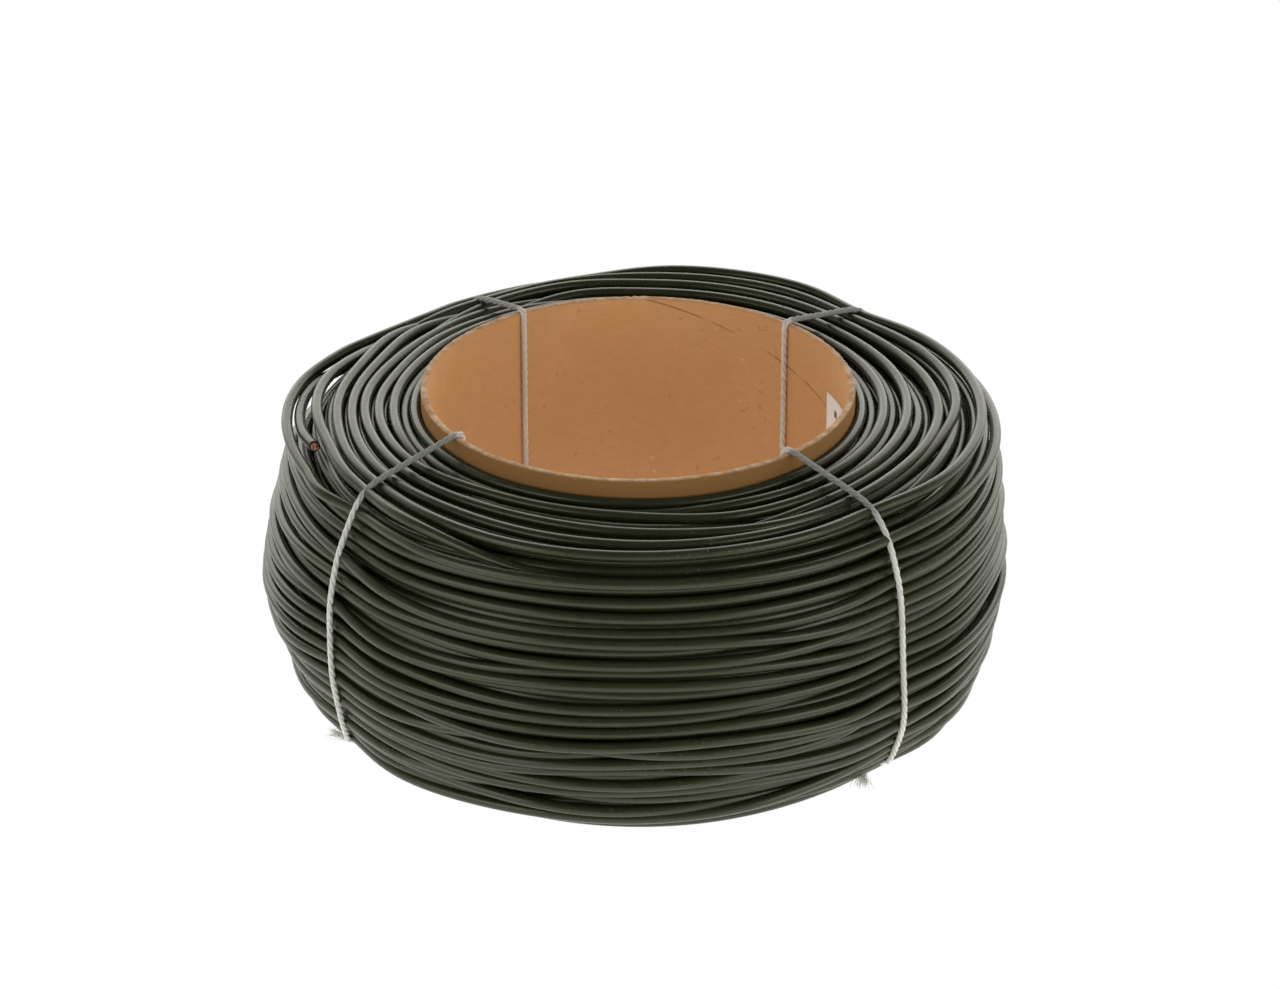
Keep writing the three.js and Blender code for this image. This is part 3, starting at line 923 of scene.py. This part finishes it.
def rope(path, up, radius, lay_length, strands=3, sides=9, step=0.35, start=0.0):
    """Strands twisted about a path: p + R (cos f side + sin f lift), f growing along it."""
    line = even(path, step)
    for _ in range(6):
        line[1:-1] = 0.25 * line[:-2] + 0.5 * line[1:-1] + 0.25 * line[2:]
    side, lift = frames(line, up)
    s = np.arange(len(line)) * step
    out = []
    for k in range(strands):
        f = 2 * np.pi * (s / lay_length + k / strands) + start
        centre = line + 0.36 * radius * (np.cos(f)[:, None] * side + np.sin(f)[:, None] * lift)
        out.append(tube(centre, 0.66 * radius, sides, up))
    return out


def fibres(path, count, reach, seed, up):
    """Fine hairs that stand off a line: short arcs that leave it at a slant and curl over."""
    rng = np.random.default_rng(seed)
    side, lift = frames(path, up)
    t = tangents(path)
    at = rng.integers(2, len(path) - 2, count)
    turn = rng.uniform(0, 2 * np.pi, count)
    out = np.cos(turn)[:, None] * side[at] + np.sin(turn)[:, None] * lift[at]
    ahead = t[at] * rng.choice([-1, 1], count)[:, None]
    length = rng.uniform(0.35, 1.0, count)[:, None] * reach
    u = np.linspace(0, 1, 5)[:, None, None]
    curl = rng.uniform(-0.3, 0.5, count)[:, None]
    lines = (path[at] + 0.45 * out + length * (u * ahead + (0.35 * u - curl * u * u) * out))
    lines[:, :, 2] = np.maximum(lines[:, :, 2], 0.05)
    return [tube(lines[:, k], 0.028, 3, tuple(out[k] + 0.01)) for k in range(count)]


def knot_line(middle, outward, across, size):
    """A closed overhand knot: a trefoil curve laid in the plane of outward and across."""
    u = np.linspace(0, 2 * np.pi, 60)
    x = (np.sin(u) + 2 * np.sin(2 * u)) * size / 3
    y = (np.cos(u) - 2 * np.cos(2 * u)) * size / 3
    z = -np.sin(3 * u) * size * 0.34
    up = np.array([0.0, 0.0, 1.0])
    return middle + x[:, None] * across + y[:, None] * up * 0.62 + z[:, None] * outward


def tuft(root, ahead, length, seed):
    """A frayed end: a splayed bunch of fine fibres that droops on to the floor."""
    rng = np.random.default_rng(seed)
    u = np.linspace(0, 1, 8)[:, None]
    out = []
    for _ in range(70):
        spread = rng.normal(0, 0.13, 3)
        way = ahead + spread
        way /= np.linalg.norm(way)
        start = root - 0.8 * ahead + rng.normal(0, 0.36, 3)
        line = start + u * way * (length + 0.8) * rng.uniform(0.7, 1.0) - np.array([0, 0, 0.5]) * u * u
        line[:, 2] = np.maximum(line[:, 2], 0.12 + 1.3 * rng.random() * (1 - u[:, 0] * 0.6))
        out.append(tube(line, np.linspace(0.07, 0.035, 8), 4, (0.0, 0.0, 1.0)))
    return out


# Azimuth, radius and height along the cut ends of each tie, from its knot under the pack's edge;
# the last row is the tip of the frayed part
TIE_ENDS = {
    "tie_back_right": ([[44, 74, 1.4], [46, 73.6, 1.0], [48.4, 74.6, 0.9], [50.5, 78.6, 0.6]],
                       [[44, 74, 1.4], [42, 72, 0.9], [39, 70, 0.8], [37, 70, 0.6]]),
    "tie_back_left": ([[124, 74, 1.4], [121.6, 73.6, 1.0], [119.6, 74.6, 0.9], [118, 78.6, 0.6]],
                      [[124, 74, 1.4], [126, 72, 0.9], [129, 70, 0.8], [131, 70, 0.6]]),
    "tie_front_left": ([[211.7, 74, 1.4], [210.9, 75.2, 1.3], [209.7, 76.3, 1.2], [204.4, 78.3, 0.7]],
                       [[211.7, 74, 1.4], [214, 72, 0.9], [217, 70, 0.8], [219, 70, 0.6]]),
    "tie_front_right": ([[319.1, 74, 1.4], [316.5, 72.4, 1.0], [314.4, 72.6, 0.9], [310.3, 78.2, 0.6]],
                        [[319.1, 74, 1.4], [321, 72, 0.9], [324, 70, 0.8], [326, 70, 0.6]]),
}

for n, tie in enumerate(TIES):
    line = tie_line(tie)
    mid = math.radians(TIES[tie][5])
    across = np.array([-math.sin(mid), math.cos(mid), 0.0])
    radius = TWINE / 2
    tubes = rope(line, tuple(across), radius, 6.9, start=n)
    smooth_line = even(line, 0.5)
    tubes += fibres(smooth_line, 110, 1.7, 40 + n, tuple(across))
    foot = math.radians(TIES[tie][0])
    outward = np.array([math.cos(foot), math.sin(foot), 0.0])
    across = np.array([-math.sin(foot), math.cos(foot), 0.0])
    middle = around(TIES[tie][0], 74.0, 1.4)
    knot = knot_line(middle, outward, across, 1.1)
    tubes += rope(knot, tuple(outward), radius * 0.78, 5.0, start=n)
    for k, rows in enumerate(TIE_ENDS[tie]):
        rows = np.array(rows)
        marks = around(rows[:, 0], rows[:, 1], rows[:, 2])
        end = smooth_run(marks[:-1], 0.4)
        frayed = np.linalg.norm(marks[-1] - end[-1])
        tubes += rope(end, (0, 0, 1), radius, 6.0, start=n + k)
        tubes += tuft(end[-1], (marks[-1] - end[-1]) / frayed, frayed, 60 + 20 * k + n)
    obj = tube_object(tie + "_twine", tubes, twine_mat)
    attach(obj, "root")
    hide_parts(tie)


# Label inside the tube, with plain bars and blocks

def label_sheet():
    """A thin sheet that follows the inside of the tube, 25.9 mm high, from azimuth -20 to 23.3:
    r is the wall less the sheet, and the grid is angle by height."""
    a = np.radians(np.linspace(-20.0, 23.3, 60))
    h = np.linspace(0, 1, 24)
    az, hh = np.meshgrid(a, h, indexing="ij")
    z = 36.6 + 25.9 * hh
    lift = 0.03 * np.sin(az * 9) * np.sin(hh * 5)
    sheets = []
    for r in (CORE_IN - 0.16 - lift, CORE_IN - 0.04 - lift):
        sheets.append(np.stack([r * np.cos(az), r * np.sin(az), z], axis=-1).reshape(-1, 3))
    rows, cols = az.shape
    front = grid_faces(rows, cols, close_cols=False)
    back = front[:, ::-1] + rows * cols
    ring = np.concatenate([np.arange(cols), np.arange(1, rows) * cols + cols - 1,
                           (rows - 1) * cols + np.arange(cols - 2, -1, -1),
                           np.arange(rows - 2, 0, -1) * cols])
    nxt = np.roll(ring, -1)
    edge = np.stack([ring, nxt, nxt + rows * cols, ring + rows * cols], axis=1)
    uv = np.stack([(az - a[0]) / (a[-1] - a[0]), hh], axis=-1).reshape(-1, 2)
    faces = np.vstack([front[:, ::-1], back[:, ::-1], edge])
    return mesh_object("label_sheet", np.vstack(sheets), faces, label_mat, np.vstack([uv, uv]))


label = label_sheet()
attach(label, "root")
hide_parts("core_label")


# Floor and light

def plane(name, half, mat):
    """A level square at the floor, half its side in metres."""
    corners = np.array([[-half, -half, 0], [half, -half, 0], [half, half, 0], [-half, half, 0]])
    return mesh_object(name, corners * 1000, [[0, 1, 2, 3]], mat, smooth=False)


def by_camera(mat_or_world, seen_node, other_node, out_node):
    """Mixes two shaders: the first for what the camera sees straight, the second for the rest."""
    tree = mat_or_world.node_tree
    path = tree.nodes.new("ShaderNodeLightPath")
    mix = tree.nodes.new("ShaderNodeMixShader")
    tree.links.new(path.outputs["Is Camera Ray"], mix.inputs["Fac"])
    tree.links.new(other_node.outputs[0], mix.inputs[1])
    tree.links.new(seen_node.outputs[0], mix.inputs[2])
    tree.links.new(mix.outputs[0], out_node.inputs["Surface"])


floor_tree = floor_mat.node_tree
seen_floor, lit_floor = (floor_tree.nodes.new("ShaderNodeEmission") for _ in range(2))
seen_floor.inputs["Color"].default_value = (1, 1, 1, 1)
seen_floor.inputs["Strength"].default_value = 1.0
lit_floor.inputs["Color"].default_value = (1, 0.99, 0.96, 1)
lit_floor.inputs["Strength"].default_value = 1.2
by_camera(floor_mat, seen_floor, lit_floor, floor_tree.nodes["Material Output"])
floor = plane("floor", 6.0, floor_mat)

world = bpy.data.worlds.new("studio")
world.use_nodes = True
world_tree = world.node_tree
seen_sky = world_tree.nodes["Background"]
seen_sky.inputs["Color"].default_value = (1, 1, 1, 1)
seen_sky.inputs["Strength"].default_value = 1.0
dim_sky = world_tree.nodes.new("ShaderNodeBackground")
dim_sky.inputs["Color"].default_value = (1, 1, 1, 1)
dim_sky.inputs["Strength"].default_value = 0.165
by_camera(world, seen_sky, dim_sky, world_tree.nodes["World Output"])
scene.world = world
scene.view_settings.view_transform = "Standard"


def panel(name, place, width, height, glow):
    """A soft panel of light that faces the pack; glow is its brightness, white being 1."""
    data = bpy.data.lights.new(name, "AREA")
    data.shape = "RECTANGLE"
    data.size = width
    data.size_y = height
    data.energy = glow * math.pi * width * height
    data.color = (1.0, 0.985, 0.935)
    obj = bpy.data.objects.new(name, data)
    obj.location = place
    away = np.array(place) - np.array([0, 0, 0.04])
    yaw = math.atan2(away[0], -away[1])
    tilt = math.atan2(math.hypot(away[0], away[1]), away[2])
    obj.rotation_euler = (tilt, 0, yaw)
    obj.visible_camera = False
    scene.collection.objects.link(obj)


panel("back", (0, 1.5, 0.75), 3.4, 1.5, 2.35)
panel("left", (-1.3, -1.0, 0.5), 1.2, 1.0, 2.2)
panel("right", (1.3, -1.0, 0.5), 1.2, 1.0, 2.6)
panel("left_side", (-1.6, 0.5, 0.6), 1.3, 1.2, 0.5)
panel("right_side", (1.6, 0.5, 0.6), 1.3, 1.2, 0.5)
